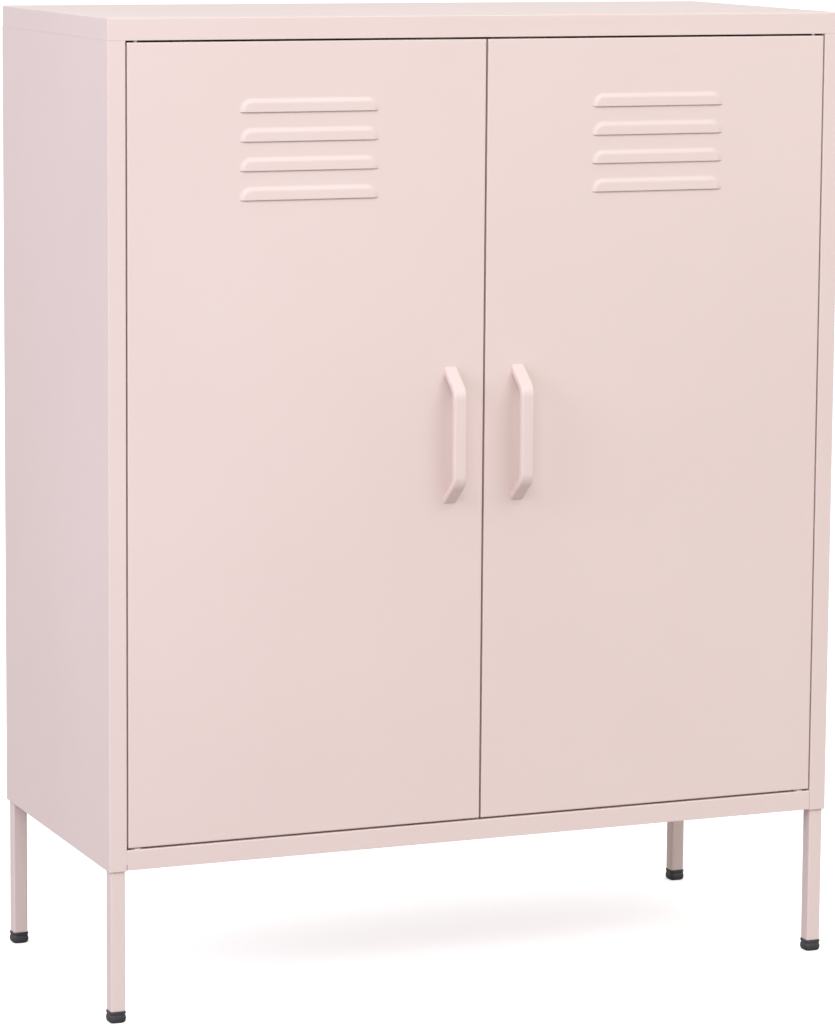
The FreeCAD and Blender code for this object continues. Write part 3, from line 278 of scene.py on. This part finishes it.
# up the ferrule: share of its height, inset from its widest half-width, and corner radius (mm)
FOOT_LEVELS = [
    (0.00, 2.0, 4.2), (0.04, 1.2, 4.6), (0.10, 0.6, 4.8), (0.20, 0.2, 4.9), (0.34, 0.0, 4.9),
    (0.50, 0.15, 4.7), (0.60, 0.5, 4.3), (0.66, 0.9, 3.8), (0.71, 0.95, 3.7), (0.77, 0.45, 4.0),
    (0.86, 0.25, 4.0), (0.94, 0.4, 3.8), (0.985, 0.8, 3.4), (1.00, 1.3, 2.8),
]


def steps(start, end, count):
    """Evenly spaced values, both ends included."""
    return [start + (end - start) * i / count for i in range(count + 1)]


def rounded_outline(half_width, half_height, corner, corner_steps):
    """A rectangle's (x, y) points, anticlockwise, with quarter-round corners."""
    points = []
    for number, (u, v) in enumerate(((1, 1), (-1, 1), (-1, -1), (1, -1))):
        for angle in steps(number * math.pi / 2, (number + 1) * math.pi / 2, corner_steps):
            points.append((u * (half_width - corner) + corner * math.cos(angle),
                           v * (half_height - corner) + corner * math.sin(angle)))
    return points


def tube_faces(rings, ring):
    """Walls between successive rings of points, and a cap on each end."""
    faces = []
    for start in range(0, (rings - 1) * ring, ring):
        for i in range(ring):
            after = (i + 1) % ring
            faces.append((start + i, start + after, start + ring + after, start + ring + i))
    faces.append(tuple(reversed(range(ring))))
    faces.append(tuple(range((rings - 1) * ring, rings * ring)))
    return faces


def add_piece(name, verts, faces, body, node, slot):
    """A smooth-shaded mesh that stands for a CAD node and moves with its body."""
    mesh = bpy.data.meshes.new(name)
    mesh.from_pydata(verts, [], faces)
    mesh.polygons.foreach_set("use_smooth", [True] * len(mesh.polygons))
    mesh.materials.append(MATERIALS[slot])
    piece = bpy.data.objects.new(name, mesh)
    bpy.context.scene.collection.objects.link(piece)
    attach(piece, body)
    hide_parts(node)
    return piece


def louvre_inset(across, up):
    """How far inside a louvre's outline a point lies, from its sides and its rounded top."""
    side = LOUVRE_HALF - LOUVRE_CORNER
    shoulder = LOUVRE_HEIGHT - LOUVRE_CORNER
    if across > side and up > shoulder:
        return LOUVRE_CORNER - math.hypot(across - side, up - shoulder)
    return min(LOUVRE_HALF - across, LOUVRE_HEIGHT - up)


def louvre_rise(across, up, reach):
    """The press's height there: it leaves the sheet softly and rounds over to a flat crest."""
    t = min(max(louvre_inset(across, up) / LOUVRE_RISE, 0.0), 1.0)
    return reach * t * t * (3.0 - 2.0 * t)


def skin_columns(low, high):
    """Places across the door, close together at the louvres' ends."""
    left, right = low[0] + DOOR_BEND, high[0] - DOOR_BEND
    middle = (low[0] + high[0]) / 2
    side = LOUVRE_HALF - LOUVRE_END
    end = steps(side, LOUVRE_HALF, round(LOUVRE_END / LOUVRE_CELL))
    across = [-x for x in reversed(end)] + steps(-side, side, PLAIN_COLUMNS)[1:-1] + end
    return ([left, left + BORDER_SUPPORT] + [middle + x for x in across]
            + [right - BORDER_SUPPORT, right])


def skin_rows(low, high):
    """Heights up the door, each with the lower edge of the louvre it crosses, or None.

    A louvre's lower edge comes twice, once on the flat and once on the press, for its slot.
    """
    foot, head = low[2] + DOOR_BEND, high[2] - DOOR_BEND
    middle = (low[2] + high[2]) / 2
    rows = [(foot, None)]
    rows += [(z, None) for z in steps(foot + BORDER_SUPPORT, middle, PLAIN_ROWS)]
    for k in reversed(range(LOUVRE_COUNT)):
        bottom = high[2] - LOUVRE_DROP - k * LOUVRE_PITCH
        rows += [(bottom - LIP_SUPPORT, None), (bottom, None)]
        rows += [(bottom + up, bottom)
                 for up in steps(0.0, LOUVRE_HEIGHT, round(LOUVRE_HEIGHT / LOUVRE_CELL))]
    return rows + [(head - BORDER_SUPPORT, None), (head, None)]


def fold_rim(verts, faces, grid, front):
    """Push the grid's border loop out round the bend and then straight back."""
    top, right = len(grid) - 1, len(grid[0]) - 1
    edge = [(0, i) for i in range(right + 1)]
    edge += [(j, right) for j in range(1, top + 1)]
    edge += [(top, i) for i in reversed(range(right))]
    edge += [(j, 0) for j in reversed(range(1, top))]
    border, seen = [], set()
    for j, i in edge:
        if grid[j][i] not in seen:
            seen.add(grid[j][i])
            border.append((j, i))
    profile = [(DOOR_BEND * math.sin(a), DOOR_BEND * (1 - math.cos(a)))
               for a in steps(0.0, math.pi / 2, BEND_STEPS)[1:]] + [(DOOR_BEND, DOOR_FOLD)]
    last = [grid[j][i] for j, i in border]
    for out, back in profile:
        ring = []
        for j, i in border:
            x, _, z = verts[grid[j][i]]
            x += out * ((i == right) - (i == 0))
            z += out * ((j == top) - (j == 0))
            ring.append(len(verts))
            verts.append((x, front + back, z))
        for k in range(len(ring)):
            after = (k + 1) % len(ring)
            faces.append((last[after], last[k], ring[k], ring[after]))
        last = ring


def door_skin(name, body, node):
    """The pressed sheet: a gridded face with open-bottomed louvres and a folded rim."""
    low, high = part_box(node)
    front = high[1] - DOOR_FOLD
    reach = front - low[1]
    middle = (low[0] + high[0]) / 2
    columns, rows = skin_columns(low, high), skin_rows(low, high)

    verts, faces, grid = [], [], []
    for z, bottom in rows:
        line = []
        for column, x in enumerate(columns):
            rise = 0.0 if bottom is None else louvre_rise(abs(x - middle), z - bottom, reach)
            if bottom == z and rise <= 0.0:
                line.append(grid[-1][column])  # no slot here, so both rows share the point
                continue
            line.append(len(verts))
            verts.append((x, front - rise, z))
        grid.append(line)
    for j in range(len(rows) - 1):
        z, bottom = rows[j + 1]
        if z == bottom:
            continue  # the slot itself
        for i in range(len(columns) - 1):
            faces.append((grid[j][i], grid[j][i + 1], grid[j + 1][i + 1], grid[j + 1][i]))
    fold_rim(verts, faces, grid, front)

    piece = add_piece(name, verts, faces, body, node, "pink_powder_coat")
    shell = piece.modifiers.new("sheet", "SOLIDIFY")
    shell.thickness = SHEET
    shell.offset = -1.0
    piece.modifiers.new("flats", "WEIGHTED_NORMAL")


def bend_path(start, corner, radius):
    """Points from a leg's foot, round its bend, to the grip's middle, as (reach, height)."""
    start, corner = Vector(start), Vector(corner)
    leg = (start - corner).normalized()
    grip = Vector((0.0, -1.0))
    half_turn = math.acos(leg.dot(grip)) / 2
    cut = radius / math.tan(half_turn)
    first, second = corner + leg * cut, corner + grip * cut
    centre = corner + (leg + grip).normalized() * (radius / math.sin(half_turn))
    begin = first - centre
    sweep = -begin.angle_signed(second - centre)  # angle_signed counts clockwise
    points = [start, (start + first) / 2]
    for angle in steps(0.0, sweep, HANDLE_BEND_STEPS):
        cosine, sine = math.cos(angle), math.sin(angle)
        points.append(centre + Vector((begin.x * cosine - begin.y * sine,
                                       begin.x * sine + begin.y * cosine)))
    return points + [Vector((second.x, 0.0))]


def door_pull(name, body, node):
    """A flat bar with rounded arrises, swept down one leg, along the grip and up the other."""
    low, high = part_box(node)
    reach = high[1] - low[1]
    half_width = (high[0] - low[0]) / 2
    half_height = (high[2] - low[2]) / 2
    centre = (low[0] + high[0]) / 2
    middle = (low[2] + high[2]) / 2
    inner_foot = half_height - HANDLE_FOOT
    inner_reach = reach - HANDLE_THICKNESS
    inner_grip = inner_foot - inner_reach * HANDLE_SLOPE / reach
    outer = bend_path((0.0, half_height), (reach, half_height - HANDLE_SLOPE), HANDLE_OUTER_BEND)
    inner = bend_path((0.0, inner_foot), (inner_reach, inner_grip), HANDLE_INNER_BEND)
    pairs = list(zip(outer, inner))
    pairs += [(Vector((o.x, -o.y)), Vector((i.x, -i.y))) for o, i in reversed(pairs[:-1])]

    verts = []
    for out, inn in pairs:
        across = (out - inn).normalized()
        half_thick = (out - inn).length / 2
        core = (out + inn) / 2
        for x, t in rounded_outline(half_width, half_thick, HANDLE_EDGE, HANDLE_EDGE_STEPS):
            place = core + across * t
            verts.append((centre + x, high[1] - place.x, middle + place.y))
    ring = len(verts) // len(pairs)
    piece = add_piece(name, verts, tube_faces(len(pairs), ring), body, node, "pink_powder_coat")

    # sharp cap edges keep the caps' normals out of the bar's shading
    last = len(verts) - ring
    for edge in piece.data.edges:
        edge.use_edge_sharp = max(edge.vertices) < ring or min(edge.vertices) >= last
    flats = piece.modifiers.new("flats", "WEIGHTED_NORMAL")
    flats.keep_sharp = True


def ferrule(name, node):
    """A moulded ferrule: soft sole edge, barrel sides, and a rolled lip that closes on the leg."""
    low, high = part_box(node)
    centre = ((low[0] + high[0]) / 2, (low[1] + high[1]) / 2)
    half = (high[0] - low[0]) / 2
    verts = []
    for share, inset, corner in FOOT_LEVELS:
        width = half - inset * MM
        verts += [(centre[0] + x, centre[1] + y, low[2] + share * FOOT_HEIGHT)
                  for x, y in rounded_outline(width, width, corner * MM, FOOT_CORNER_STEPS)]
    faces = tube_faces(len(FOOT_LEVELS), len(verts) // len(FOOT_LEVELS))
    piece = add_piece(name, verts, faces, "carcass", node, "black_plastic")
    piece.modifiers.new("flats", "WEIGHTED_NORMAL")


for corner in ("front_left", "front_right", "rear_left", "rear_right"):
    ferrule(f"{corner}_ferrule", f"{corner}_foot")

for hand in ("left", "right"):
    door_skin(f"{hand}_door_skin", f"{hand}_leaf", f"{hand}_door_face")
    door_pull(f"{hand}_door_pull", f"{hand}_leaf", f"{hand}_door_handle")


# ---------------------------------------------------------------------------------------------
# Floor, light and camera
# ---------------------------------------------------------------------------------------------

FLOOR_HALF = 30.0
FLOOR_GLOW = 0.50
FLOOR_BOUNCE = (0.475, 0.428, 0.425)  # the floor's colour in the light that it throws back
SKY_LIGHT = 0.8075
SKY_SEEN = 1.0
WHITE = (1.0, 1.0, 1.0)

CAMERA_PLACE = (-1.6530, -3.9759, 1.1520)
CAMERA_PITCH = 7.699
CAMERA_YAW = -22.503
CAMERA_ROLL = 0.434
LENS_MM = 145.31
SENSOR_MM = 36.0
CAMERA_SHIFT = -0.0898
CLIP_NEAR = 0.05
CLIP_FAR = 100.0


def floor_material():
    """Pale paper: bright where the camera sees it, dimmer in the light it throws back."""
    s = Shader("studio_floor")
    seen = s.add("ShaderNodeLightPath").outputs["Is Camera Ray"]
    mottle = s.span(s.noise(scale=1.1, detail=3.0), 0.0, 1.0)
    paper = s.mix(mottle, (0.93, 0.93, 0.93), (0.95, 0.95, 0.95))
    s.link(s.mix(seen, FLOOR_BOUNCE, paper), s.surface.inputs["Base Color"])
    s.link(s.span(s.noise(scale=14.0, detail=3.0), 0.78, 0.88), s.surface.inputs["Roughness"])
    glow = s.span(seen, 0.0, FLOOR_GLOW, from_low=0.0, from_high=1.0)
    s.link(glow, s.surface.inputs["Emission Strength"])
    s.set(Specular_IOR_Level=0.15, Emission_Color=(*WHITE, 1.0))
    return s.material


def add_floor():
    corners = [(x * FLOOR_HALF, y * FLOOR_HALF, 0) for x, y in ((-1, -1), (1, -1), (1, 1), (-1, 1))]
    mesh = bpy.data.meshes.new("studio_floor")
    mesh.from_pydata(corners, [], [(0, 1, 2, 3)])
    mesh.materials.append(floor_material())
    floor = bpy.data.objects.new("studio_floor", mesh)
    bpy.context.scene.collection.objects.link(floor)


def add_softbox(name, place, width, height, power, colour):
    """A rectangular area light, sizes in metres and power in watts, aimed at the part's middle."""
    light = bpy.data.lights.new(name, "AREA")
    light.shape = "RECTANGLE"
    light.size, light.size_y = width, height
    light.energy = power
    light.color = colour
    softbox = bpy.data.objects.new(name, light)
    softbox.location = place
    aim = (CAD_LOW + CAD_HIGH) / 2 - Vector(place)
    softbox.rotation_euler = aim.to_track_quat("-Z", "Y").to_euler()
    bpy.context.scene.collection.objects.link(softbox)


def add_sky():
    """A white sky, slightly dimmer as a light than it looks to the camera."""
    world = bpy.data.worlds.new("studio")
    world.use_nodes = True
    bpy.context.scene.world = world
    tree = world.node_tree
    tree.nodes.clear()
    output = tree.nodes.new("ShaderNodeOutputWorld")
    sky = tree.nodes.new("ShaderNodeBackground")
    path = tree.nodes.new("ShaderNodeLightPath")
    level = tree.nodes.new("ShaderNodeMapRange")
    level.inputs["To Min"].default_value = SKY_LIGHT
    level.inputs["To Max"].default_value = SKY_SEEN
    sky.inputs["Color"].default_value = (*WHITE, 1.0)
    tree.links.new(path.outputs["Is Camera Ray"], level.inputs["Value"])
    tree.links.new(level.outputs["Result"], sky.inputs["Strength"])
    tree.links.new(sky.outputs["Background"], output.inputs["Surface"])


def add_camera():
    """The photo's viewpoint: yawed and pitched, then rolled about the camera's own axis."""
    lens = bpy.data.cameras.new("camera")
    lens.sensor_width = SENSOR_MM
    lens.lens = LENS_MM
    lens.shift_y = CAMERA_SHIFT
    lens.clip_start = CLIP_NEAR
    lens.clip_end = CLIP_FAR
    camera = bpy.data.objects.new("camera", lens)
    aim = Euler((math.radians(90.0 - CAMERA_PITCH), 0.0, math.radians(CAMERA_YAW))).to_matrix()
    roll = Euler((0.0, 0.0, math.radians(CAMERA_ROLL))).to_matrix()
    camera.matrix_world = (aim @ roll).to_4x4()
    camera.location = CAMERA_PLACE
    bpy.context.scene.collection.objects.link(camera)
    bpy.context.scene.camera = camera


add_floor()
add_softbox("key", (0.9, -3.0, 3.4), 2.4, 1.6, 42.0, WHITE)
add_softbox("front", (-1.9, -3.8, 2.8), 2.0, 2.0, 36.0, WHITE)
add_softbox("left", (-3.4, -1.2, 2.1), 1.6, 2.0, 53.0, (0.723, 0.754, 1.0))
add_sky()
add_camera()
bpy.context.scene.view_settings.view_transform = "Standard"

bpy.context.view_layer.update()
